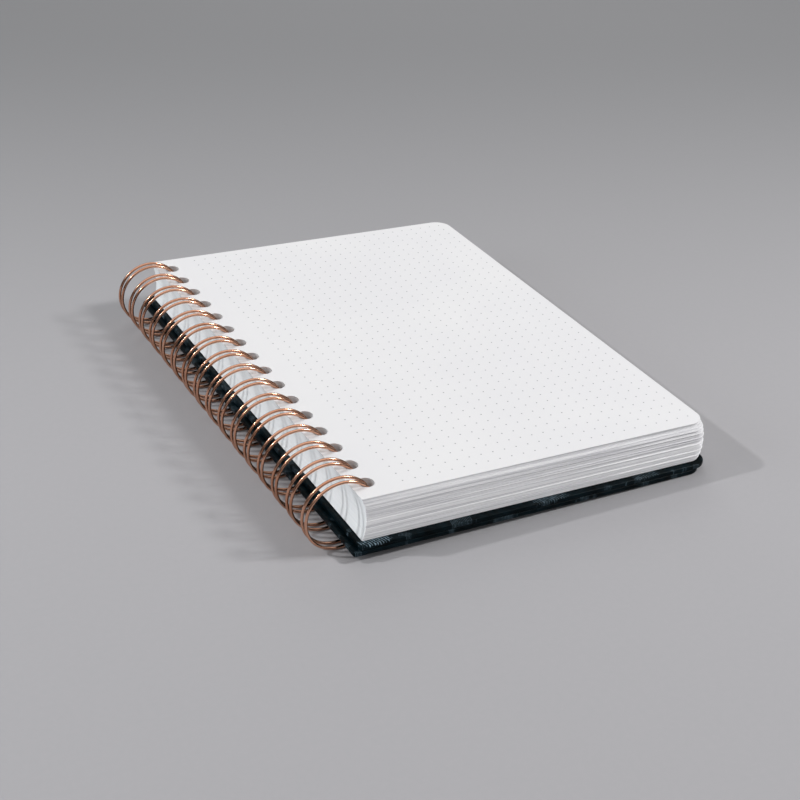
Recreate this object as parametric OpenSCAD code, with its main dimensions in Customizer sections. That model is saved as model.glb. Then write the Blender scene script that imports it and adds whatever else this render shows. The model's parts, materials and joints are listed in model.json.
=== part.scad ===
// Spiral notebook with hard covers on a closed twin-loop wire, lying with its front
// cover turned right round to the back, so that the first page faces up.
// It rests on the foot of its rings and on the fore-edge of the lower cover.
// X runs from the rings to the fore-edge, Y along the spine, Z up. Millimetres.

/* [Sheets] */
// Width of a sheet, from spine edge to fore-edge
page_w = 152; // [100:1:230]
// Length of a sheet along the spine
page_l = 209.5; // [120:0.5:300]
// Thickness of the stack of sheets
stack_t = 17.8; // [10:0.1:24]
// Radius of the two fore-edge corners of a sheet
page_corner_r = 6.5; // [3:0.5:12]
// How far the hanging sheets follow the curve of the loops: 1 is all the way
hang_share = 0.5; // [0.4:0.05:0.9]

/* [Punching] */
// Distance from one hole to the next
hole_pitch = 12.7; // [11:0.1:12.7]
// Diameter of a hole in the sheets
hole_d = 6.2; // [6:0.1:7]
// Distance from the centre of a hole to the spine edge of its sheet
hole_inset = 6.4; // [5.5:0.1:8]
// Least distance from an end hole's centre to the head or tail of the sheet
hole_margin = 8; // [6:0.5:14]
// Diameter of a hole in the covers
cover_hole_d = 6.5; // [6.3:0.1:7]

/* [Wire] */
// Diameter of the wire
wire_d = 1.2; // [0.9:0.1:1.3]
// Room inside the closed loops beyond the thickness of the closed book
loop_room = 4.4; // [3.8:0.1:6]
// Distance between the two strands of a loop
strand_gap = 3.4; // [3:0.1:3.5]
// Bend radius of the links between the loops
link_r = 1.4; // [1.2:0.1:1.6]
// How far the loops reach below the lower cover
foot_clear = 2.6; // [2.3:0.1:3.5]

/* [Covers] */
// Thickness of a cover board
cover_t = 2.0; // [1.2:0.1:2.2]
// How far a cover reaches past the sheets at head and tail
cover_square = 2.9; // [1:0.1:5]
// How far a cover reaches past the sheets at the fore-edge
cover_fore = 2.8; // [1:0.1:5]
// How far a cover reaches past the sheets at the spine
cover_spine = 1.4; // [1:0.1:2.4]
// Radius of the two fore-edge corners of a cover
cover_corner_r = 7; // [3:0.5:12]
// Radius of the two spine corners of a cover
spine_corner_r = 1.2; // [0.8:0.1:3]
// Rounding of the wrapped edge of a board
cover_edge_r = 0.5; // [0.3:0.1:0.6]

/* [Fits] */
// Air between two flat leaves that lie on each other
leaf_gap = 0.15; // [0.1:0.05:0.3]
// Air round the links and loop ends, in their pocket under the last sheets
seam_gap = 0.2; // [0.15:0.05:0.4]
// Run over which the last sheets slope down from the links to the back cover
seam_ramp = 9; // [5:1:20]

/* [Hidden] */
$fn = 48;
fine = 96;
cut = 1;

// The notebook is laid out level, with the axis of the loops as its origin, and
// each module tilts it to rest at the end.
loop_d = stack_t + 2 * cover_t + 2 * wire_d + loop_room;
ring_r = (loop_d - wire_d) / 2;
wire_r = wire_d / 2;
strand_y = strand_gap / 2;
hole_count = floor((page_l - 2 * hole_margin) / hole_pitch) + 1;
spine_l = (hole_count - 1) * hole_pitch;
function hole_y(i) = i * hole_pitch - spine_l / 2;
function arc_x(r, z) = sqrt(r * r - z * z);

// Levels, counted up from the underside of the lower cover.
front_top = foot_clear - loop_d / 2 + cover_t;
back_top = front_top + leaf_gap + cover_t;
stack_bottom = back_top + leaf_gap;
stack_top = stack_bottom + stack_t;

// The sheets share the play of their holes, so the stacked holes follow a curve with a
// share of the wire's sag, the rest halved between its middle and its ends. The spine
// edge is the same curve, and the fore-edge and its corners are turned about one axis
// with that curve as their core.
ring_sag = ring_r - arc_x(ring_r, stack_top);
hole_sag = hang_share * ring_sag;
belly_r = (stack_top * stack_top + hole_sag * hole_sag) / (2 * hole_sag);
hole_axis_x = arc_x(ring_r, stack_top) + (ring_sag - hole_sag) / 2 - arc_x(belly_r, stack_top);
spine_axis_x = hole_axis_x - hole_inset;
page_fore_x = spine_axis_x + arc_x(belly_r, stack_top) + page_w;
fore_r = belly_r + page_corner_r;
fore_axis_x = page_fore_x - arc_x(fore_r, stack_top);

// Covers, each centred on the wire that passes through it.
cover_w = cover_spine + page_w + cover_fore;
cover_l = page_l + 2 * cover_square;
cover_hole_x = cover_spine + hole_inset;
function cover_x(top) = (arc_x(ring_r, top) + arc_x(ring_r, top - cover_t)) / 2 - cover_hole_x;

// Seam of the wire: its links and loop ends lie between the last sheet and the back
// cover. A loop end stops one wire and one gap short of the link corners beside it.
link_z = back_top + seam_gap + wire_r;
link_angle = atan(link_r / ring_r) + asin(link_z / norm([ring_r, link_r]));
link_x = ring_r * cos(link_angle) + link_r * sin(link_angle);
link_y = strand_y + link_r;
nest = link_y + wire_d + seam_gap;
end_angle = link_angle - sqrt(nest * nest - link_y * link_y) / ring_r * 180 / PI;
joint_ball_r = wire_r + 0.01;
pocket_top = link_z + wire_r + seam_gap;
pocket_x = link_x + wire_r + seam_gap;
pocket_l = spine_l + 2 * (link_y + wire_r + seam_gap);

// Rest: the loops and the rounded fore-edge of the lower cover stand on one level,
// so the tilt is that of the line that touches both circles from below.
foot_x = cover_x(front_top) + cover_w - cover_edge_r;
foot_z = front_top - cover_t + cover_edge_r;
rest_tilt = asin((loop_d / 2 - cover_edge_r) / norm([foot_x, foot_z])) + atan(foot_z / foot_x);
function tilted_x(x, z, r) = x * cos(rest_tilt) + z * sin(rest_tilt) + r;
fore_x = max([tilted_x(fore_axis_x, 0, fore_r),
              for (top = [front_top, back_top])
                  tilted_x(cover_x(top) + cover_w - cover_edge_r, top - cover_edge_r, cover_edge_r)]);
mid_x = (fore_x - loop_d / 2) / 2;

module at_rest() {
    translate([-mid_x, 0, loop_d / 2]) rotate([0, rest_tilt, 0]) children();
}

// Stack of sheets: a box with the drum of the fore-edge, hollowed along the spine.
module page_block() {
    color([0.93, 0.93, 0.92]) at_rest() difference() {
        union() {
            translate([spine_axis_x, -page_l / 2, stack_bottom])
                cube([fore_axis_x - spine_axis_x, page_l, stack_t]);
            intersection() {
                translate([fore_axis_x, 0, 0]) fore_drum();
                translate([fore_axis_x / 2, -page_l, stack_bottom])
                    cube([page_w, 2 * page_l, stack_t]);
            }
        }
        translate([spine_axis_x, 0, 0]) rotate([90, 0, 0])
            cylinder(r = belly_r, h = page_l + 2 * cut, center = true, $fn = fine);
        for (i = [0:hole_count - 1]) sheet_tunnel(hole_y(i));
        seam_pocket();
    }
}

// Outline of a sheet's fore part, turned about the axis of the fore-edge curve.
module fore_drum() {
    rotate([90, 0, 0]) rotate_extrude($fn = fine) {
        translate([0, -page_l / 2]) square([belly_r, page_l]);
        translate([0, page_corner_r - page_l / 2]) square([fore_r, page_l - 2 * page_corner_r]);
        for (side = [-1, 1]) translate([belly_r, side * (page_l / 2 - page_corner_r)])
            circle(r = page_corner_r);
    }
}

// One punched hole through all sheets, along the curve that they hang on.
module sheet_tunnel(y) {
    translate([hole_axis_x, y, 0]) rotate([90, 0, 0]) rotate([0, 0, -60])
        rotate_extrude(angle = 120, $fn = fine) translate([belly_r, 0]) circle(d = hole_d);
}

// Room that the links hold open under the last sheets, open at the spine.
module seam_pocket() {
    low = stack_bottom - cut;
    foot = pocket_x + seam_ramp;
    rotate([90, 0, 0]) linear_extrude(pocket_l, center = true)
        polygon([[spine_axis_x, low], [spine_axis_x, pocket_top], [pocket_x, pocket_top],
                 [foot, stack_bottom], [foot, low]]);
}

// One wire: each loop is a pair of strands that start at the links, run up through
// the sheets, round the spine and through both covers, and meet in a bend at the links.
module wire_binding() {
    color([0.78, 0.50, 0.38]) at_rest() for (i = [0:hole_count - 1]) translate([0, hole_y(i), 0]) {
        for (side = [-1, 1]) {
            strand(side * strand_y);
            link_corner(side);
        }
        loop_end();
        if (i < hole_count - 1) link_bar();
    }
}

// Bend that joins a loop's two strands.
module loop_end() {
    on_loop(end_angle) {
        bend(strand_y, 90, 180);
        for (side = [-1, 1]) joint_ball(side * strand_y, 0);
    }
}

// Places its children at an angle on the loops: x outwards, z along the wire.
module on_loop(angle) {
    rotate([0, -angle, 0]) translate([ring_r, 0, 0]) children();
}

// Ball a hair thicker than the wire, over a place where two lengths of it meet.
module joint_ball(y, z) {
    translate([0, y, z]) sphere(r = joint_ball_r);
}

// Wire bent flat against the loops, where a start of 0 is back along the wire and
// 90 is along the spine.
module bend(r, start, turn) {
    rotate([0, 90, 0]) rotate([0, 0, start]) rotate_extrude(angle = turn)
        translate([r, 0]) circle(d = wire_d);
}

module strand(y) {
    translate([0, y, 0]) rotate([90, 0, 0]) rotate([0, 0, link_angle])
        rotate_extrude(angle = 360 + end_angle - link_angle, $fn = fine)
            translate([ring_r, 0]) circle(d = wire_d);
}

module link_corner(side) {
    on_loop(link_angle) {
        translate([0, side * link_y, 0]) bend(link_r, side > 0 ? -90 : 0, 90);
        joint_ball(side * strand_y, 0);
    }
}

module link_bar() {
    on_loop(link_angle) {
        translate([0, hole_pitch / 2, -link_r]) rotate([90, 0, 0])
            cylinder(d = wire_d, h = hole_pitch - 2 * link_y, center = true);
        for (y = [link_y, hole_pitch - link_y]) joint_ball(y, -link_r);
    }
}

module back_cover() {
    color([0.09, 0.11, 0.15]) at_rest() cover_board(back_top);
}

module front_cover() {
    color([0.07, 0.09, 0.13]) at_rest() cover_board(front_top);
}

// Board with rounded edges, round fore-edge corners and nearly square spine corners.
module cover_board(top) {
    translate([cover_x(top), 0, top - cover_t / 2]) difference() {
        union() {
            board_strip(0, cover_w, cover_l - 2 * cover_corner_r);
            board_strip(0, cover_w / 2, cover_l - 2 * spine_corner_r);
            translate([spine_corner_r, 0, 0]) rotate([90, 0, 90])
                linear_extrude(cover_w - spine_corner_r - cover_corner_r)
                    board_section(-cover_l / 2, cover_l / 2);
            for (side = [-1, 1]) {
                board_corner(cover_w - cover_corner_r, side, cover_corner_r, side < 0 ? -90 : 0);
                board_corner(spine_corner_r, side, spine_corner_r, side < 0 ? 180 : 90);
            }
        }
        for (i = [0:hole_count - 1]) translate([cover_hole_x, hole_y(i), 0])
            cylinder(d = cover_hole_d, h = cover_t + 2 * cut, center = true);
    }
}

// Part of a board between two places in x, straight along y.
module board_strip(from, to, length) {
    rotate([90, 0, 0]) linear_extrude(length, center = true) board_section(from, to);
}

// Quarter of a round disc at a corner of the board.
module board_corner(x, side, r, start) {
    translate([x, side * (cover_l / 2 - r), 0]) rotate([0, 0, start]) rotate_extrude(angle = 90)
        intersection() {
            board_section(-r, r);
            translate([0, -cover_t]) square([r, 2 * cover_t]);
        }
}

// Cross-section of a board, with its four edges rounded.
module board_section(from, to) {
    edge_y = cover_t / 2 - cover_edge_r;
    translate([from + cover_edge_r, -cover_t / 2]) square([to - from - 2 * cover_edge_r, cover_t]);
    translate([from, -edge_y]) square([to - from, 2 * edge_y]);
    for (x = [from + cover_edge_r, to - cover_edge_r], y = [-edge_y, edge_y])
        translate([x, y]) circle(r = cover_edge_r);
}

page_block();
wire_binding();
back_cover();
front_cover();
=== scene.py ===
# Looks of a spiral notebook: dotted sheets, twin-loop copper wire and two dark printed boards.
# Shapes are worked out in millimetres in the notebook's level layout, whose origin is the
# middle of the loop axis, and are then tilted and moved to where the notebook rests.
import json
import math

import bmesh
import bpy
import numpy as np
from mathutils import Matrix, Vector
from mathutils.geometry import delaunay_2d_cdt


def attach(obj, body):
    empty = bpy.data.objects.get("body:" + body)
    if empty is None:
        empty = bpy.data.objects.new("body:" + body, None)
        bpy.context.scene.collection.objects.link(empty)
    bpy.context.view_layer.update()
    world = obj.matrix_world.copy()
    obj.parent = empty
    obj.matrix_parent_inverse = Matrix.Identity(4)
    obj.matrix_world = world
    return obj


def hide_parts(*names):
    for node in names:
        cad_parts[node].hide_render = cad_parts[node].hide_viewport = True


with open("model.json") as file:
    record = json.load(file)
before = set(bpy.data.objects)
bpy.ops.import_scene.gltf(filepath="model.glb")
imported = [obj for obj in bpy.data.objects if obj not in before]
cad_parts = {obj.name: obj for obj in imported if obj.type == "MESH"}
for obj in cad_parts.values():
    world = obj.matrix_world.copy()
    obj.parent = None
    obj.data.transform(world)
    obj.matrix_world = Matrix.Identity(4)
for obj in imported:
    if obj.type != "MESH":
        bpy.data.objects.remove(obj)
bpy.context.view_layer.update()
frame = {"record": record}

# Millimetres in a metre
MM = 1000.0

# Sheets
PAGE_W = 152.0
PAGE_L = 209.5
STACK_T = 17.8
PAGE_CORNER_R = 6.5
SHEETS = 120
# Share of a sheet's step that is wall, with the rest as the ledge to the next sheet
SHEET_FILL = 0.84
HOLES = 16
HOLE_PITCH = 12.7
HOLE_R = 3.1
HOLE_INSET = 6.4
# Share of the rings' curve that the stacked holes follow
HANG_SHARE = 0.5

# Wire
WIRE_R = 0.6
# Radius of the loops outside, and of the wire's middle
LOOP_R = 14.3
RING_R = LOOP_R - WIRE_R
# Distance of a strand from the middle of its hole, along the spine
STRAND_Y = 1.7
LINK_R = 1.4
# How far the loops reach below the front board
FOOT_CLEAR = 2.6

# Boards
BOARD_T = 2.0
# How far a board stands out past the sheets at the head and foot, fore-edge and spine
BOARD_SQUARE = 2.9
BOARD_FORE = 2.8
BOARD_SPINE = 1.4
BOARD_CORNER_R = 7.0
BOARD_SPINE_CORNER_R = 1.2
BOARD_EDGE_R = 0.5
BOARD_HOLE_R = 3.25
# Air between leaves, and round the links in the seam
LEAF_GAP = 0.15
SEAM_GAP = 0.2
# Distance in which the raised sheets slope down to the cover
SEAM_RAMP = 9.0

# Levels and places that follow from those sizes
FRONT_TOP = FOOT_CLEAR - LOOP_R + BOARD_T
BACK_TOP = FRONT_TOP + LEAF_GAP + BOARD_T
STACK_BOTTOM = BACK_TOP + LEAF_GAP
STACK_TOP = STACK_BOTTOM + STACK_T
HOLE_YS = (np.arange(HOLES) - (HOLES - 1) / 2) * HOLE_PITCH

# Where the notebook rests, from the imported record
HINGE = frame["record"]["behaviour"]["joints"][0]
LOOP_AXIS = np.array(HINGE["pos_m"])
UNDERSIDE = frame["record"]["mounts"][0]["axis"]
REST_TILT = math.atan2(-UNDERSIDE[0], -UNDERSIDE[2])


def on_circle(r, z):
    """Distance from a circle's axis at height z."""
    return np.sqrt(r * r - z * z)


# The stacked holes hang in an arc about the loop axis's level. It is flatter than the
# rings: HOLE_SAG deep at the top sheet, from which its radius follows.
RING_SAG = RING_R - on_circle(RING_R, STACK_TOP)
HOLE_SAG = RING_SAG * HANG_SHARE
BELLY_R = (STACK_TOP**2 + HOLE_SAG**2) / (2 * HOLE_SAG)
TOP_HOLE_X = on_circle(RING_R, STACK_TOP) + (RING_SAG - HOLE_SAG) / 2
HOLE_AXIS_X = TOP_HOLE_X - on_circle(BELLY_R, STACK_TOP)


def spine_x(z):
    """Spine edge of the sheet at height z: the curve that the stacked holes hang in."""
    return HOLE_AXIS_X - HOLE_INSET + on_circle(BELLY_R, z)


def to_rest(points):
    """Level layout in millimetres to the resting notebook in metres."""
    x, y, z = np.moveaxis(np.asarray(points, dtype=float) / MM, -1, 0)
    c, s = math.cos(REST_TILT), math.sin(REST_TILT)
    return np.stack([x * c + z * s, y, z * c - x * s], axis=-1) + LOOP_AXIS


def smooth_step(t):
    """Rises from 0 to 1 with level ends."""
    t = np.clip(t, 0, 1)
    return t * t * (3 - 2 * t)


# Meshes
SMOOTH_ANGLE = 30
TUBE_SMOOTH_ANGLE = 60
# Share of a hole's radius within which the middle of a triangle lies in the hole
IN_HOLE = 0.97
# Output type and tolerance of the triangulation
INSIDE_ONLY = 1
CAP_EPSILON = 1e-7
MIN_CORNER_R = 0.02
# Bias of the front edge's points towards the spine, where the links raise the sheets
FRONT_BIAS = 1.4
# Points round a punched hole
HOLE_STEPS = 28


def ring_quads(rows, cols, first=0):
    """Quads between neighbouring rings of a grid whose columns close on themselves."""
    row = np.arange(rows - 1)[:, None] * cols
    col = np.arange(cols)[None, :]
    next_col = (col + 1) % cols
    quads = np.stack([row + col, row + next_col, row + cols + next_col, row + cols + col], axis=-1)
    return quads.reshape(-1, 4) + first


def piece(name, points, parts, materials, smooth_angle=SMOOTH_ANGLE):
    """A mesh object from level points, with its faces turned outwards. Parts are pairs
    of faces, as point numbers, and the material slot that they have."""
    faces, slots = [], []
    for part, slot in parts:
        faces += np.asarray(part).tolist()
        slots += [slot] * len(part)
    mesh = bpy.data.meshes.new(name)
    mesh.from_pydata(to_rest(points).tolist(), [], faces)
    mesh.polygons.foreach_set("material_index", slots)
    for material in materials:
        mesh.materials.append(material)
    obj = bpy.data.objects.new(name, mesh)
    bpy.context.collection.objects.link(obj)
    finish_mesh(mesh, smooth_angle)
    return obj


def finish_mesh(mesh, smooth_angle):
    """Outward normals, smooth faces, and creases where faces meet at more than the angle."""
    bm = bmesh.new()
    bm.from_mesh(mesh)
    bmesh.ops.recalc_face_normals(bm, faces=bm.faces)
    bm.to_mesh(mesh)
    bm.free()
    mesh.shade_smooth()
    mesh.set_sharp_from_angle(angle=math.radians(smooth_angle))


def flat_cap(points, rings):
    """Triangles that fill a flat outline, the first ring, round its holes, the others.
    Rings are point numbers. A triangle whose middle lies in a hole is left out."""
    numbers = np.concatenate(rings)
    flat = [Vector(p) for p in points[numbers, :2].tolist()]
    edges = []
    first = 0
    for ring in rings:
        edges += [(first + k, first + (k + 1) % len(ring)) for k in range(len(ring))]
        first += len(ring)
    made, _, faces, given, _, _ = delaunay_2d_cdt(flat, edges, [], INSIDE_ONLY, CAP_EPSILON)
    holes = [points[ring, :2] for ring in rings[1:]]
    middles = [hole.mean(axis=0) for hole in holes]
    reach = [np.linalg.norm(hole[0] - middle) for hole, middle in zip(holes, middles)]
    triangles = []
    for face in faces:
        centre = np.mean([made[k] for k in face], axis=0)
        if all(np.linalg.norm(centre - m) > IN_HOLE * r for m, r in zip(middles, reach)):
            triangles.append([int(numbers[given[k][0]]) for k in face])
    return triangles


def rounded_outline(width, length, spine_r, fore_r, counts, inset=0.0):
    """Outline of a leaf from its spine edge at x 0, counter-clockwise, set in by a
    distance. Corners are quarter circles, and counts gives the steps along the short
    edges, the fore-edge, the spine and each corner."""
    short, fore, spine, corner = counts
    half = length / 2 - inset
    low, high = inset, width - inset
    spine_r, fore_r = (max(r - inset, MIN_CORNER_R) for r in (spine_r, fore_r))
    points = []

    def straight(start, end, steps, bias=1.0):
        """Adds evenly spaced points, or closer ones at the start for a bias above 1."""
        t = (np.arange(steps) / steps) ** bias
        points.append(np.outer(1 - t, start) + np.outer(t, end))

    def quarter(centre, r, from_deg):
        """Adds a quarter circle, counter-clockwise."""
        angle = np.radians(from_deg + 90 * np.arange(corner) / corner)
        points.append(np.array(centre) + r * np.stack([np.cos(angle), np.sin(angle)], axis=1))

    straight((low + spine_r, -half), (high - fore_r, -half), short, FRONT_BIAS)
    quarter((high - fore_r, fore_r - half), fore_r, -90)
    straight((high, fore_r - half), (high, half - fore_r), fore)
    quarter((high - fore_r, half - fore_r), fore_r, 0)
    straight((high - fore_r, half), (low + spine_r, half), short)
    quarter((low + spine_r, half - spine_r), spine_r, 90)
    straight((low, half - spine_r), (low, spine_r - half), spine)
    quarter((low + spine_r, spine_r - half), spine_r, 180)
    return np.concatenate(points)


def at_level(flat, z):
    """Flat points at one height."""
    return np.column_stack([flat, np.full(len(flat), z)])


def circle_points(r, steps):
    """Circle about the origin, as x and y."""
    angle = 2 * np.pi * np.arange(steps) / steps
    return r * np.stack([np.cos(angle), np.sin(angle)], axis=1)


def pierced(name, wall, wall_parts, tunnels, tunnel_slot, cap_slots, materials):
    """A closed piece from the rings of its wall and of the tunnels of its holes, all from
    the top down, with a flat cap above and one below."""
    points = [wall.reshape(-1, 3)]
    parts = list(wall_parts)
    first = len(points[0])
    outline = np.arange(wall.shape[1])
    upper, lower = [outline], [outline + first - len(outline)]
    for tunnel in tunnels:
        rim = np.arange(tunnel.shape[1])
        points.append(tunnel.reshape(-1, 3))
        parts.append((ring_quads(*tunnel.shape[:2], first), tunnel_slot))
        upper.append(rim + first)
        first += len(points[-1])
        lower.append(rim + first - len(rim))
    points = np.concatenate(points)
    parts += [(flat_cap(points, rings), slot) for rings, slot in zip((upper, lower), cap_slots)]
    return piece(name, points, parts, materials)


# Node trees
class Tree:
    """Short names for the nodes of one material or group."""

    def __init__(self, tree):
        """Works on one node tree."""
        self.tree = tree

    def node(self, kind, **settings):
        """A new node of a kind, with its settings."""
        made = self.tree.nodes.new(kind)
        for name, value in settings.items():
            setattr(made, name, value)
        return made

    def put(self, socket, value):
        """Links a socket, or sets its value."""
        if isinstance(value, bpy.types.NodeSocket):
            self.tree.links.new(value, socket)
        elif value is not None:
            socket.default_value = value

    def fill(self, made, *values):
        """A node with its first inputs put in order."""
        for socket, value in zip(made.inputs, values):
            self.put(socket, value)
        return made

    def math(self, operation, a, b=None):
        """An operation on one or two numbers."""
        return self.fill(self.node("ShaderNodeMath", operation=operation), a, b).outputs[0]

    def vector(self, operation, a, b=None, scale=None):
        """An operation on one or two vectors. LENGTH and DOT_PRODUCT give a number."""
        made = self.fill(self.node("ShaderNodeVectorMath", operation=operation), a, b)
        if scale is not None:
            made.inputs["Scale"].default_value = scale
        return made.outputs["Value" if operation in ("LENGTH", "DOT_PRODUCT") else "Vector"]

    def split(self, vector):
        """The three parts of a vector."""
        return self.fill(self.node("ShaderNodeSeparateXYZ"), vector).outputs

    def join(self, x, y, z):
        """A vector from its parts."""
        return self.fill(self.node("ShaderNodeCombineXYZ"), x, y, z).outputs[0]

    def mix(self, factor, a, b, blend="MIX"):
        """Colour a turning into colour b as the factor rises."""
        made = self.node("ShaderNodeMix", data_type="RGBA", blend_type=blend)
        self.put(made.inputs[0], factor)
        self.put(made.inputs[6], a)
        self.put(made.inputs[7], b)
        return made.outputs[2]

    def ramp(self, value, low, high, out_low=0.0, out_high=1.0):
        """Smooth change from one level to the other as the value goes from low to high."""
        made = self.node("ShaderNodeMapRange", interpolation_type="SMOOTHSTEP")
        return self.fill(made, value, low, high, out_low, out_high).outputs[0]

    def noise(self, vector, scale, detail=2.0, roughness=0.5):
        """Noise from 0 to 1, with scale cells to a unit."""
        made = self.node("ShaderNodeTexNoise")
        self.put(made.inputs["Vector"], vector)
        self.put(made.inputs["Scale"], scale)
        self.put(made.inputs["Detail"], detail)
        self.put(made.inputs["Roughness"], roughness)
        return made.outputs["Fac"]

    def bump(self, height, strength, distance):
        """Normal of a surface raised by the height times a distance in metres."""
        made = self.node("ShaderNodeBump")
        self.put(made.inputs["Strength"], strength)
        self.put(made.inputs["Distance"], distance)
        self.put(made.inputs["Height"], height)
        return made.outputs[0]

    def off_middle(self, value):
        """Distance of a value from 0.5."""
        return self.math("ABSOLUTE", self.math("SUBTRACT", value, 0.5))

    def use(self, name, *values):
        """The outputs of a node group, with its inputs put in order."""
        made = self.node("ShaderNodeGroup", node_tree=bpy.data.node_groups[name])
        return self.fill(made, *values).outputs

    def place(self):
        """Object coordinates in millimetres."""
        coords = self.node("ShaderNodeTexCoord")
        return self.vector("SCALE", coords.outputs["Object"], scale=MM)


def paint(red, green, blue):
    """A colour written in display values from 0 to 255, as linear light."""
    c = np.array([red, green, blue]) / 255
    light = np.where(c <= 0.04045, c / 12.92, ((c + 0.055) / 1.055) ** 2.4)
    return (*light.tolist(), 1.0)


def new_material(name):
    """A material with an empty Principled BSDF, and the tree to build it with."""
    material = bpy.data.materials.new(name)
    material.use_nodes = True
    surface = material.node_tree.nodes["Principled BSDF"]
    return material, Tree(material.node_tree), surface.inputs


def new_group(name, numbers, outputs):
    """A shader node group with a place and numbers as inputs, and with outputs of the
    given socket types. Returns its tree and the sockets inside it."""
    group = bpy.data.node_groups.new(name, "ShaderNodeTree")
    group.interface.new_socket("Place", in_out="INPUT", socket_type="NodeSocketVector")
    for number in numbers:
        group.interface.new_socket(number, in_out="INPUT", socket_type="NodeSocketFloat")
    for output, kind in outputs.items():
        group.interface.new_socket(output, in_out="OUTPUT", socket_type=kind)
    t = Tree(group)
    return t, t.node("NodeGroupInput").outputs, t.node("NodeGroupOutput").inputs


GRAIN = "grain"


def grain_group():
    """Makes the group of fine noise, and of the normal that it gives as a height."""
    numbers = ("Scale", "Detail", "Roughness", "Strength", "Distance")
    outputs = {"Grain": "NodeSocketFloat", "Normal": "NodeSocketVector"}
    t, given, out = new_group(GRAIN, numbers, outputs)
    noise = t.noise(given["Place"], given["Scale"], given["Detail"], given["Roughness"])
    t.put(out["Grain"], noise)
    t.put(out["Normal"], t.bump(noise, given["Strength"], given["Distance"]))


def grain(t, place, scale, detail, roughness, strength, distance):
    """The grain's noise, with scale cells to a millimetre, and its normal, from a bump of
    a strength and a distance in metres."""
    made = t.use(GRAIN, place, scale, detail, roughness, strength, distance)
    return made["Grain"], made["Normal"]


# Full white of the sheets' cut edges, above the paper's white: painted light on the shaded front
# face
WHITE = paint(255, 255, 255)
PAGE_WHITE = paint(237, 236, 237)
PAGE_SHADE = paint(234, 233, 235)
DOT_GREY = paint(122, 121, 128)
# Dot grid. The first dot is placed from the loop axis and from the middle of the spine.
DOT_PITCH = 5.11
DOT_R = 0.29
DOT_BLUR = 0.06
DOT_STRENGTH = 0.8
DOT_FIRST = (23.05, -98.9)
DOT_COLUMNS = 26
DOT_ROWS = 40


def page_face():
    """First page: matt white with fibre grain and a printed grid of small grey dots."""
    material, t, surface = new_material("page_face")
    place = t.place()
    x, y, _ = t.split(place)
    columns = dot_steps(t, x, DOT_FIRST[0] + LOOP_AXIS[0] * MM, DOT_COLUMNS)
    rows = dot_steps(t, y, DOT_FIRST[1], DOT_ROWS)
    reach = t.vector("LENGTH", t.join(columns, rows, 0.0))
    dot = t.ramp(reach, DOT_R - DOT_BLUR, DOT_R + DOT_BLUR, DOT_STRENGTH, 0.0)
    cloud = t.noise(place, 0.02, detail=3.0)
    fibre, normal = grain(t, place, scale=1.6, detail=4.0, roughness=0.7, strength=0.12,
                          distance=0.00005)
    paper = t.mix(t.ramp(cloud, 0.3, 0.7), PAGE_WHITE, PAGE_SHADE)
    t.put(surface["Base Color"], t.mix(dot, paper, DOT_GREY))
    t.put(surface["Roughness"], t.ramp(fibre, 0.2, 0.8, 0.82, 0.95))
    t.put(surface["Normal"], normal)
    surface["Specular IOR Level"].default_value = 0.3
    return material


def dot_steps(t, value, first, count):
    """Distance from the nearest of a row of steps that starts at first."""
    steps = t.math("DIVIDE", t.math("SUBTRACT", value, first), DOT_PITCH)
    nearest = t.math("ROUND", steps)
    inside = t.math("MINIMUM", t.math("MAXIMUM", nearest, 0.0), count - 1.0)
    return t.math("MULTIPLY", t.math("SUBTRACT", steps, inside), DOT_PITCH)


SHEET_LINES = "sheet_lines"


def sheet_line_group():
    """Makes the group that draws noise out into lines along the sheets, with its cells to
    a millimetre along and across them. Height follows the tilt that the notebook rests
    at."""
    numbers = ("Along", "Across", "Detail", "Roughness")
    t, given, out = new_group(SHEET_LINES, numbers, {"Lines": "NodeSocketFloat"})
    place, along = given["Place"], given["Along"]
    x, y, _ = t.split(place)
    height = t.vector("DOT_PRODUCT", place, (math.sin(REST_TILT), 0.0, math.cos(REST_TILT)))
    drawn = t.join(t.math("MULTIPLY", x, along), t.math("MULTIPLY", y, along),
                   t.math("MULTIPLY", height, given["Across"]))
    t.put(out["Lines"], t.noise(drawn, 1.0, given["Detail"], given["Roughness"]))


def sheet_lines(t, along, across, detail=3.0, roughness=0.6):
    """The lines along the sheets, as noise from 0 to 1."""
    return t.use(SHEET_LINES, t.place(), along, across, detail, roughness)["Lines"]


def page_edges():
    """Cut edges of the sheets: painted whiter than the paper, as painted light on the shaded front
    face, with fine and broad lines that run along them, and thin dark lines of painted shade in
    the gaps between the sheets, where a noise passes its middle value."""
    material, t, surface = new_material("page_edges")
    fine = sheet_lines(t, 0.02, 3.2)
    broad = sheet_lines(t, 0.008, 1.15, detail=2.0)
    gap_shade = t.off_middle(sheet_lines(t, 0.006, 1.25, detail=1.0, roughness=0.4))
    # Painted light: the edges' colours are whiter than the paper's, standing in for light on the
    # shaded front face
    shade = t.mix(t.ramp(fine, 0.3, 0.7), paint(248, 247, 249), WHITE)
    tint = t.mix(t.ramp(broad, 0.38, 0.6), paint(249, 249, 250), WHITE)
    # Painted shade: thin dark lines in the gaps between the sheets
    dark = t.mix(t.ramp(gap_shade, 0.01, 0.08), paint(226, 226, 228), WHITE)
    plain = t.mix(1.0, shade, tint, "MULTIPLY")
    t.put(surface["Base Color"], t.mix(1.0, plain, dark, "MULTIPLY"))
    surface["Roughness"].default_value = 0.9
    t.put(surface["Normal"], t.bump(fine, 0.35, 0.00008))
    surface["Specular IOR Level"].default_value = 0.25
    return material


def close_edges(name, across, spread, dark, light, specular):
    """Sheet edges that lie close: smooth, with faint lines between two colours."""
    material, t, surface = new_material(name)
    lines = t.ramp(sheet_lines(t, 0.02, across), 0.5 - spread, 0.5 + spread)
    t.put(surface["Base Color"], t.mix(lines, dark, light))
    surface["Roughness"].default_value = 0.9
    surface["Specular IOR Level"].default_value = specular
    return material


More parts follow.
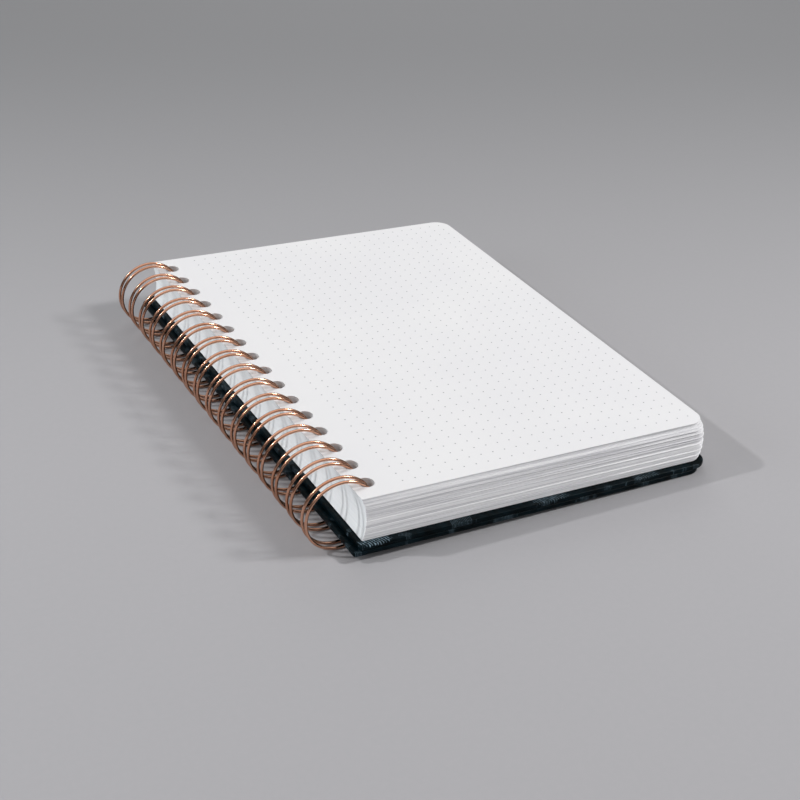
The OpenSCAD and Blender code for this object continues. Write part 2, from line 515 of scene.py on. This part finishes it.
def copper_wire():
    """Satin copper coating on steel wire, with faint drawing marks."""
    material, t, surface = new_material("copper_wire")
    place = t.place()
    patches = t.noise(place, 0.12, detail=3.0)
    marks, normal = grain(t, place, scale=3.5, detail=3.0, roughness=0.6, strength=0.1,
                          distance=0.00004)
    base = t.mix(t.ramp(patches, 0.3, 0.7), paint(199, 146, 118), paint(217, 168, 142))
    t.put(surface["Base Color"], base)
    t.put(surface["Roughness"], t.ramp(marks, 0.25, 0.75, 0.15, 0.25))
    t.put(surface["Normal"], normal)
    surface["Metallic"].default_value = 1.0
    return material


HATCH = "hatch_marks"
FULL_TURN = 6.283
STROKE_BLUE = paint(142, 166, 180)


def hatch_group():
    """Makes the group that scatters small clusters of short parallel strokes, each turned
    its own way. The nearest Voronoi point is a cluster's middle, and its random colour
    gives the turn, width, length and choice. Cluster size and stroke pitch are in
    millimetres. The group puts out a mask of the strokes of a share of the clusters."""
    numbers = ("Cluster size", "Stroke pitch", "Share")
    t, given, out = new_group(HATCH, numbers, {"Strokes": "NodeSocketFloat"})
    cell = t.node("ShaderNodeTexVoronoi", feature="F1")
    cell.inputs["Scale"].default_value = 1.0
    cell.inputs["Randomness"].default_value = 0.9
    flat = t.vector("MULTIPLY", given["Place"], (1.0, 1.0, 0.0))
    size = given["Cluster size"]
    size_3d = t.join(size, size, size)
    in_cells = t.vector("DIVIDE", flat, size_3d)
    t.put(cell.inputs["Vector"], in_cells)
    own = t.vector("SUBTRACT", in_cells, cell.outputs["Position"])
    red, green, blue = t.split(cell.outputs["Color"])
    turn = t.node("ShaderNodeVectorRotate", rotation_type="Z_AXIS")
    t.put(turn.inputs["Vector"], t.vector("MULTIPLY", own, size_3d))
    t.put(turn.inputs["Angle"], t.math("MULTIPLY", red, FULL_TURN))
    across, along, _ = t.split(turn.outputs[0])
    step = t.math("DIVIDE", across, given["Stroke pitch"])
    line = t.ramp(t.off_middle(t.math("FRACT", step)), 0.12, 0.22, 1.0, 0.0)
    length = t.math("MULTIPLY", size, t.ramp(blue, 0.0, 1.0, 0.10, 0.26))
    ends = t.math("LESS_THAN", t.math("ABSOLUTE", along), length)
    width = t.math("MULTIPLY", size, t.ramp(green, 0.0, 1.0, 0.12, 0.34))
    sides = t.math("LESS_THAN", t.math("ABSOLUTE", across), width)
    shuffled = t.math("FRACT", t.math("MULTIPLY", green, 7.3))
    chosen = t.math("LESS_THAN", shuffled, given["Share"])
    mask = t.math("MULTIPLY", t.math("MULTIPLY", line, ends), t.math("MULTIPLY", sides, chosen))
    t.put(out["Strokes"], mask)


# Patches of strokes at the front edge of the back board: distance from the loop axis, half
# width and strength
EDGE_PATCHES = ((9.5, 7.5, 1.0), (84.0, 9.0, 0.5), (128.0, 7.0, 0.45))
# How far their middle lies in front of the sheets, and their half depth and half height
PATCH_OUT = 1.3
PATCH_HALF = (2.8, 1.4)
PATCH_PITCH = 1.1
# Direction across the strokes of the patches
PATCH_SLANT = (1.0, 0.4, 0.0)
EDGE_PATCH = "edge_patches"


def edge_patch_group():
    """Makes the group that puts out a mask of fine slanted strokes in patches along the
    front edge. A patch is an ellipsoid with a ragged outline."""
    t, given, out = new_group(EDGE_PATCH, (), {"Strokes": "NodeSocketFloat"})
    place = given["Place"]
    across = t.vector("DOT_PRODUCT", place, PATCH_SLANT)
    rough = t.noise(place, 0.8, detail=3.0)
    step = t.math("FRACT", t.math("DIVIDE", t.math("ADD", across, rough), PATCH_PITCH))
    line = t.ramp(t.off_middle(step), 0.1, 0.24, 1.0, 0.0)
    ragged = t.math("SUBTRACT", rough, 0.5)
    inside = 0.0
    for x, half, strength in EDGE_PATCHES:
        middle = to_rest((x, -PAGE_L / 2 - PATCH_OUT, BACK_TOP)) * MM
        reach = t.vector("DIVIDE", t.vector("SUBTRACT", place, middle), (half, *PATCH_HALF))
        edge = t.math("ADD", t.vector("LENGTH", reach), ragged)
        patch = t.ramp(edge, 0.6, 1.0, strength, 0.0)
        inside = t.math("MAXIMUM", patch, inside)
    t.put(out["Strokes"], t.math("MULTIPLY", line, inside))


# Strength of the scattered strokes, and the shift between their two scales
SCATTER_STRENGTH = 0.3
SCATTER_SHIFT = (31.0, 57.0, 0.0)


def board_print(name, ground, glow, share, shift):
    """Matt laminated print: near-black blue ground, soft clouds and pale hatched strokes,
    shifted along the board."""
    material, t, surface = new_material(name)
    place = t.vector("ADD", t.place(), (shift, 0.0, 0.0))
    shifted = t.vector("ADD", place, SCATTER_SHIFT)
    large = t.use(HATCH, place, 13.0, 0.62, share)["Strokes"]
    small = t.use(HATCH, shifted, 8.0, 0.5, share)["Strokes"]
    cloud = t.noise(place, 0.16, detail=4.0, roughness=0.7)
    worn = t.noise(place, 0.7, detail=3.0, roughness=0.7)
    fade = t.ramp(worn, 0.35, 0.65, 0.3, 1.0)
    deep = t.mix(t.ramp(cloud, 0.35, 0.7), ground, glow)
    scattered = t.math("MULTIPLY", t.math("MAXIMUM", large, small), SCATTER_STRENGTH)
    strokes = t.math("MAXIMUM", scattered, t.use(EDGE_PATCH, t.place())["Strokes"])
    t.put(surface["Base Color"], t.mix(t.math("MULTIPLY", strokes, fade), deep, STROKE_BLUE))
    t.put(surface["Roughness"], t.ramp(worn, 0.2, 0.8, 0.3, 0.42))
    _, normal = grain(t, place, scale=2.2, detail=3.0, roughness=0.5, strength=0.15,
                      distance=0.00006)
    t.put(surface["Normal"], normal)
    surface["Specular IOR Level"].default_value = 0.05
    return material


def endpaper():
    """Plain dark lining pasted inside a board."""
    material, t, surface = new_material("endpaper")
    fibre, normal = grain(t, t.place(), scale=1.2, detail=4.0, roughness=0.7, strength=0.2,
                          distance=0.00005)
    t.put(surface["Base Color"], t.mix(fibre, paint(18, 20, 24), paint(24, 26, 31)))
    surface["Roughness"].default_value = 0.85
    t.put(surface["Normal"], normal)
    return material


# Sheets
# How far the sheets stand out at the front of the fore-edge end, by depth below the top
BANDS = ((0.0, 0.0), (0.25, -0.35), (1.3, -0.45), (3.2, 0.8), (3.35, 0.15), (5.0, 0.75),
         (5.2, 0.15), (5.6, 0.5), (6.9, 0.4), (7.0, 0.7), (7.6, 0.2), (8.0, 0.65), (8.4, 0.3),
         (9.7, 0.2), (9.8, 0.55), (12.7, 0.25), (12.8, 0.5), (15.1, 0.2), (15.2, 0.4), (17.8, 0.1))
# Share of the bands' reach that shows at the spine end
SPINE_SHARE = 0.25
BAND_REACH = 1.25
BAND_JITTER = 0.045
# How far the lowest sheet reaches past the top one at the fore-edge
LOWER_REACH = 1.2
REACH_JITTER = 0.05
# Depth of stack that gives way to the links, and how far the sheets slope down in front
# of them, at the ends of their row, and behind them to the spine edge
LIFT_DEPTH = 5.0
LIFT_END = 2.0
DROOP_REACH = 5.0
DROOP_LEFT = 0.1
PAGE_SPINE_CORNER_R = 0.4
# Steps of the sheets' outline: short edges, fore-edge, spine and each corner
SHEET_STEPS = (26, 24, 48, 12)
# First column of the outline that lies on the spine edge
SPINE_START = 2 * SHEET_STEPS[0] + SHEET_STEPS[1] + 3 * SHEET_STEPS[3]
# Material slots of the sheets
EDGES, FACES, SPINE, TUNNELS = range(4)
# The tunnels of the holes follow the first levels one by one, and then every tenth
TUNNEL_TOP = 16
TUNNEL_STRIDE = 10
SHEET_SEED = 7


def sheet_places(rng):
    """Reach in x, shift in y and slope of y along x, of every sheet. A sheet is held by
    its rings and swings a little about them, so its fore-edge end moves most. The lower
    sheets lie flatter, so they reach further."""
    depth = (np.arange(SHEETS) + 0.5) * STACK_T / SHEETS
    bands = np.interp(depth, *np.array(BANDS).T) * BAND_REACH
    bands = bands + rng.normal(0, BAND_JITTER, SHEETS)
    slope = -(1 - SPINE_SHARE) * bands / PAGE_W
    shift_y = -SPINE_SHARE * bands
    reach = LOWER_REACH * smooth_step(depth / STACK_T) + rng.normal(0, REACH_JITTER, SHEETS)
    for values in (slope, shift_y, reach):
        values[0] = 0
    return reach / PAGE_W, shift_y, slope


def seam_lift(x, y, z):
    """How far the links under the last sheets raise a point of the stack. The sheets
    droop again to the cover at their spine edge, and slope down to it in front."""
    link_reach = math.sqrt(RING_R**2 - LINK_Z**2) + WIRE_R + SEAM_GAP
    end = (HOLES - 1) * HOLE_PITCH / 2 + STRAND_Y + LINK_R + WIRE_R
    height = 2 * WIRE_R + SEAM_GAP + LEAF_GAP
    ramp = smooth_step((link_reach + SEAM_RAMP - x) / SEAM_RAMP)
    ends = smooth_step((end + LIFT_END - np.abs(y)) / LIFT_END)
    held = smooth_step((x - spine_x(STACK_BOTTOM)) / DROOP_REACH)
    droop = DROOP_LEFT + (1 - DROOP_LEFT) * held
    fade = np.clip(1 - (z - STACK_BOTTOM) / LIFT_DEPTH, 0, 1)
    return height * ramp * ends * droop * fade


def stack_rings(flat, levels, sheet, places):
    """Rings of one flat outline, at each level, on the sheets they belong to."""
    reach, shift_y, slope = (values[sheet][:, None] for values in places)
    x = flat[None, :, 0] * (1 + reach) + spine_x(levels)[:, None]
    y = flat[None, :, 1] + slope * flat[None, :, 0] + shift_y
    z = np.broadcast_to(levels[:, None], x.shape)
    return np.stack([x, y, z + seam_lift(x, y, z)], axis=-1)


def page_stack():
    """All sheets as one closed mesh: the wall steps from sheet to sheet, and each
    punched hole is a tunnel through them."""
    places = sheet_places(np.random.default_rng(SHEET_SEED))
    outline = rounded_outline(PAGE_W, PAGE_L, PAGE_SPINE_CORNER_R, PAGE_CORNER_R, SHEET_STEPS)
    pitch = STACK_T / SHEETS
    tops = STACK_TOP - pitch * np.arange(SHEETS)
    levels = np.stack([tops, tops - pitch * SHEET_FILL], axis=1).ravel()
    levels[-1] = STACK_BOTTOM
    sheet = np.repeat(np.arange(SHEETS), 2)
    wall = stack_rings(outline, levels, sheet, places)
    quads = ring_quads(*wall.shape[:2])
    column = quads[:, 0] % len(outline)
    at_spine = (column >= SPINE_START) & (column < SPINE_START + SHEET_STEPS[2])
    seen = np.concatenate([np.arange(TUNNEL_TOP),
                           np.arange(TUNNEL_TOP, len(levels) - 1, TUNNEL_STRIDE),
                           [len(levels) - 1]])
    hole = circle_points(HOLE_R, HOLE_STEPS)
    tunnels = [stack_rings(hole + (HOLE_INSET, y), levels[seen], sheet[seen], places)
               for y in HOLE_YS]
    spine_edges = close_edges("spine_edges", 2.4, 0.2, paint(233, 237, 240),
                              paint(241, 244, 246), 0.25)
    hole_walls = close_edges("hole_walls", 1.6, 0.15, paint(222, 227, 231),
                             paint(245, 248, 250), 0.2)
    wall_parts = [(quads[~at_spine], EDGES), (quads[at_spine], SPINE)]
    return pierced("pages", wall, wall_parts, tunnels, TUNNELS, (FACES, FACES),
                   [page_edges(), page_face(), spine_edges, hole_walls])


# Wire
# Angles on the loops are counted up from the direction of the fore-edge. The straight
# parts of the links lie at LINK_Z, just above the back board, and the end bends stop
# short of the links, by the room that lets them nest.
LINK_Z = BACK_TOP + SEAM_GAP + WIRE_R
LINK_ANGLE = math.degrees(math.atan(LINK_R / RING_R)
                          + math.asin(LINK_Z / math.hypot(RING_R, LINK_R)))
LINK_Y = STRAND_Y + LINK_R
NEST = LINK_Y + 2 * WIRE_R + SEAM_GAP
END_ANGLE = LINK_ANGLE - math.degrees(math.sqrt(NEST**2 - LINK_Y**2) / RING_R)
# Points along a strand, a corner and an end bend, and round the wire
STRAND_STEPS = 92
CORNER_STEPS = 6
BEND_STEPS = 13
WIRE_SIDES = 12


def wire_path():
    """Middle line of the one wire, as angle on the loops, y, and distance back along the
    loops: for each hole a corner, a strand, the end bend, the other strand, a corner."""
    far = 360 + END_ANGLE
    sweep = np.linspace(LINK_ANGLE, far, STRAND_STEPS)
    corner = np.radians(np.linspace(0, 90, CORNER_STEPS + 1))[:-1]
    bend = np.radians(np.linspace(0, 180, BEND_STEPS + 2))[1:-1]
    at_link = np.full(CORNER_STEPS, LINK_ANGLE)
    level = np.zeros(STRAND_STEPS)
    rise, fall = LINK_R * np.sin(corner), -LINK_R * np.cos(corner)
    rows = []
    for y in HOLE_YS:
        rows.append((at_link, y - LINK_Y + rise, fall))
        rows.append((sweep, y - STRAND_Y + level, level))
        rows.append((np.full(BEND_STEPS, far), y - STRAND_Y * np.cos(bend),
                     STRAND_Y * np.sin(bend)))
        rows.append((sweep[::-1], y + STRAND_Y + level, level))
        rows.append((at_link, y + LINK_Y - rise[::-1], fall[::-1]))
    return (np.concatenate(column) for column in zip(*rows))


def wire_mesh():
    """Round tube along the wire's path. The loops' radius is its fixed side, so the
    tube never twists."""
    angle, y, back = wire_path()
    angle = np.radians(angle)
    out = np.stack([np.cos(angle), np.zeros_like(angle), np.sin(angle)], axis=1)
    along = np.stack([-np.sin(angle), np.zeros_like(angle), np.cos(angle)], axis=1)
    centre = RING_R * out + back[:, None] * along
    centre[:, 1] = y
    heading = np.gradient(centre, axis=0)
    heading /= np.linalg.norm(heading, axis=1)[:, None]
    side = np.cross(heading, out)
    rim = circle_points(WIRE_R, WIRE_SIDES)
    tube = centre[:, None] + rim[None, :, :1] * out[:, None] + rim[None, :, 1:] * side[:, None]
    rows, cols = tube.shape[:2]
    obj = piece("wire", tube.reshape(-1, 3), [(ring_quads(rows, cols), 0)], [copper_wire()],
                TUBE_SMOOTH_ANGLE)
    close_ends(obj.data)
    return obj


def close_ends(mesh):
    """Flat ends on an open tube."""
    bm = bmesh.new()
    bm.from_mesh(mesh)
    bmesh.ops.holes_fill(bm, edges=[e for e in bm.edges if len(e.link_faces) == 1], sides=0)
    bm.to_mesh(mesh)
    bm.free()
    finish_mesh(mesh, TUBE_SMOOTH_ANGLE)


# Boards
# How far the lining is set in from the edge, its thickness and the width of its slope
TURN_IN = 3.4
LINING_T = 0.05
LINING_SLOPE = 0.06
# Width of the narrow faces that hold the shading beside an edge
EDGE_STRIP = 0.3
EDGE_STEPS = 6
# Steps of a board's outline: short edges, fore-edge, spine and each corner
BOARD_STEPS = (30, 30, 40, 12)
# Pressed rim of a punched hole: distance out from the hole and drop below the face
PRESSED_RIM = ((0.45, 0.0), (0.15, 0.0), (0.04, 0.05))
RIM_DEPTH = 0.16
# Material slots of a board
WRAP, LINING = range(2)


def board_x(top):
    """Spine edge of a board whose hole is centred on the wire."""
    middle = (on_circle(RING_R, top) + on_circle(RING_R, top - BOARD_T)) / 2
    return middle - BOARD_SPINE - HOLE_INSET


def board_wall(top, lined_above):
    """Rings of a board's rounded edge, from the lining or the plain face above to the one
    below."""
    turn = np.radians(np.linspace(0, 90, EDGE_STEPS))
    plain = np.array([(TURN_IN, 0.0), (BOARD_EDGE_R + EDGE_STRIP, 0.0)])
    lined = np.array([(TURN_IN + EDGE_STRIP, -LINING_T), (TURN_IN + LINING_SLOPE, -LINING_T),
                      *plain])
    round_edge = BOARD_EDGE_R * (1 - np.stack([np.sin(turn), np.cos(turn)], axis=1))
    upper = np.concatenate([lined if lined_above else plain, round_edge])
    lower = np.concatenate([plain if lined_above else lined, round_edge])[::-1]
    rings = [(i, top - d) for i, d in upper] + [(i, top - BOARD_T + d) for i, d in lower]
    width = BOARD_SPINE + PAGE_W + BOARD_FORE
    length = PAGE_L + 2 * BOARD_SQUARE
    radii = (BOARD_SPINE_CORNER_R, BOARD_CORNER_R)
    return np.stack([at_level(rounded_outline(width, length, *radii, BOARD_STEPS, i), z)
                     for i, z in rings])


def board_holes(top, lined_above):
    """Rings of each punched hole of a board, from the top down."""
    above = LINING_T if lined_above else 0.0
    below = 0.0 if lined_above else LINING_T
    rim = [(out, above - drop) for out, drop in PRESSED_RIM]
    rim += [(0.0, -RIM_DEPTH), (0.0, RIM_DEPTH - BOARD_T)]
    rim += [(out, drop - BOARD_T - below) for out, drop in reversed(PRESSED_RIM)]
    for y in HOLE_YS:
        centre = (BOARD_SPINE + HOLE_INSET, y)
        yield np.stack([at_level(circle_points(BOARD_HOLE_R + out, HOLE_STEPS) + centre, top + z)
                        for out, z in rim])


def board(name, top, lined_above, wrap, lining):
    """Wrapped board: flat faces, rounded edges, punched holes with pressed rims, and a
    thin lining set in from the edge on its inner face."""
    at = (board_x(top), 0, 0)
    wall = board_wall(top, lined_above) + at
    holes = [hole + at for hole in board_holes(top, lined_above)]
    caps = (LINING, WRAP) if lined_above else (WRAP, LINING)
    return pierced(name, wall, [(ring_quads(*wall.shape[:2]), WRAP)], holes, WRAP, caps,
                   [wrap, lining])


# Camera, lamps and floor
# Places and sizes are in metres, and the lens and sensor in millimetres.
CAMERA_AT = np.array([-0.2831, -0.49503, 0.31937])
CAMERA_AIM = np.array([-0.01453, -0.03357, 0.015])
CAMERA_ROLL = math.radians(-3.912)
CAMERA_LENS = 68.95
CAMERA_SENSOR = 36
CAMERA_CLIP = 0.01
LAMP_DISTANCE = 1.3
# Size from which a lamp doesn't show in the metal
BROAD_LAMP = 0.5
WORLD_LEVEL = 0.19
FLOOR_HALF = 3.0
# Direction along the floor away from the camera
FLOOR_AHEAD = (0.34, 0.94, 0.0)
# Distances in millimetres between which the floor turns from its near to its far grey, painted
# shade that darkens it away from the camera
FLOOR_SHADE_FADE = (-100.0, 520.0)


def unit(vector):
    """The vector at length 1."""
    return vector / np.linalg.norm(vector)


def placed(name, data, columns):
    """An object at a place, from its three axes and its position."""
    obj = bpy.data.objects.new(name, data)
    obj.matrix_world = Matrix([*np.column_stack(columns).tolist(), [0, 0, 0, 1]])
    bpy.context.collection.objects.link(obj)
    return obj


def place_camera():
    """Camera at the photograph's viewing angle."""
    data = bpy.data.cameras.new("camera")
    data.lens = CAMERA_LENS
    data.sensor_width = CAMERA_SENSOR
    data.clip_start = CAMERA_CLIP
    ahead = unit(CAMERA_AIM - CAMERA_AT)
    level = unit(np.cross(ahead, (0, 0, 1)))
    right = level * math.cos(CAMERA_ROLL) + np.cross(ahead, level) * math.sin(CAMERA_ROLL)
    up = np.cross(right, ahead)
    bpy.context.scene.camera = placed("camera", data, (right, up, -ahead, CAMERA_AT))


def softbox(name, toward, size, watts, colour=(1, 1, 1)):
    """Square lamp that faces the notebook from a direction. The broad ones don't show
    in the metal, which keeps its dark and bright lines."""
    data = bpy.data.lights.new(name, "AREA")
    data.shape = "SQUARE"
    data.size = size
    data.energy = watts
    data.color = colour
    facing = unit(np.array(toward, dtype=float))
    side = unit(np.cross((0, 0, 1), facing))
    lamp = placed(name, data, (side, np.cross(facing, side), facing, facing * LAMP_DISTANCE))
    lamp.visible_glossy = size < BROAD_LAMP


def lamps():
    """A small lamp at each side, and broad ones at the left, in front and behind."""
    softbox("lamp_right", (0.85, -0.44, 0.85), 0.2, 8.9)
    softbox("lamp_left", (-0.83, 0.24, 0.72), 0.05, 5.7)
    softbox("fill_left", (-1.0, 0.1, 0.3), 0.8, 6.0, (0.9, 0.97, 1.0))
    softbox("fill_front", (-0.3, -1.0, 0.25), 0.8, 2.4)
    softbox("lamp_back", (0.45, 0.8, 0.6), 0.9, 4.2)


def surroundings():
    """Soft even light all round. The metal sees a sky instead that rises from dark at the
    horizon to bright overhead."""
    world = bpy.data.worlds.new("world")
    world.use_nodes = True
    t = Tree(world.node_tree)
    height = t.split(t.node("ShaderNodeTexCoord").outputs["Generated"])[2]
    glossy = t.node("ShaderNodeLightPath").outputs["Is Glossy Ray"]
    mirrored = t.math("MULTIPLY", glossy, t.ramp(height, 0.15, 0.95, 0.04, 1.15))
    plain = t.math("MULTIPLY", t.math("SUBTRACT", 1.0, glossy), WORLD_LEVEL)
    background = world.node_tree.nodes["Background"]
    background.inputs["Color"].default_value = (1, 1, 1, 1)
    t.put(background.inputs["Strength"], t.math("ADD", plain, mirrored))
    bpy.context.scene.world = world


def floor():
    """Plain grey floor with painted shade that darkens it away from the camera."""
    mesh = bpy.data.meshes.new("floor")
    low, high = -FLOOR_HALF, FLOOR_HALF
    mesh.from_pydata([(low, low, 0), (high, low, 0), (high, high, 0), (low, high, 0)],
                     [], [(0, 1, 2, 3)])
    material, t, surface = new_material("floor")
    place = t.place()
    depth = t.vector("DOT_PRODUCT", place, FLOOR_AHEAD)
    near = t.mix(t.noise(place, 0.4, detail=3.0), paint(171, 170, 173), paint(175, 173, 176))
    # Painted shade: the far grey darkens the floor away from the camera
    far = paint(136, 136, 138)
    t.put(surface["Base Color"], t.mix(t.ramp(depth, *FLOOR_SHADE_FADE), near, far))
    surface["Roughness"].default_value = 0.75
    mesh.materials.append(material)
    obj = bpy.data.objects.new("floor", mesh)
    bpy.context.collection.objects.link(obj)


place_camera()
lamps()
surroundings()
floor()
grain_group()
sheet_line_group()
hatch_group()
edge_patch_group()

pages = page_stack()
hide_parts("page_block")
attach(pages, "bound_block")

wire = wire_mesh()
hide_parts("wire_binding")
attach(wire, "bound_block")

wrap_back = board_print("back_print", paint(1, 6, 8), paint(10, 26, 32), 0.62, 21.0)
wrap_front = board_print("front_print", paint(1, 6, 8), paint(9, 24, 30), 0.55, 3.0)
lining = endpaper()
back_board = board("back_board", BACK_TOP, True, wrap_back, lining)
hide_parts("back_cover")
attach(back_board, "back_board")
front_board = board("front_board", FRONT_TOP, False, wrap_front, lining)
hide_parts("front_cover")
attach(front_board, "front_board")

bpy.context.scene.view_settings.view_transform = "Standard"
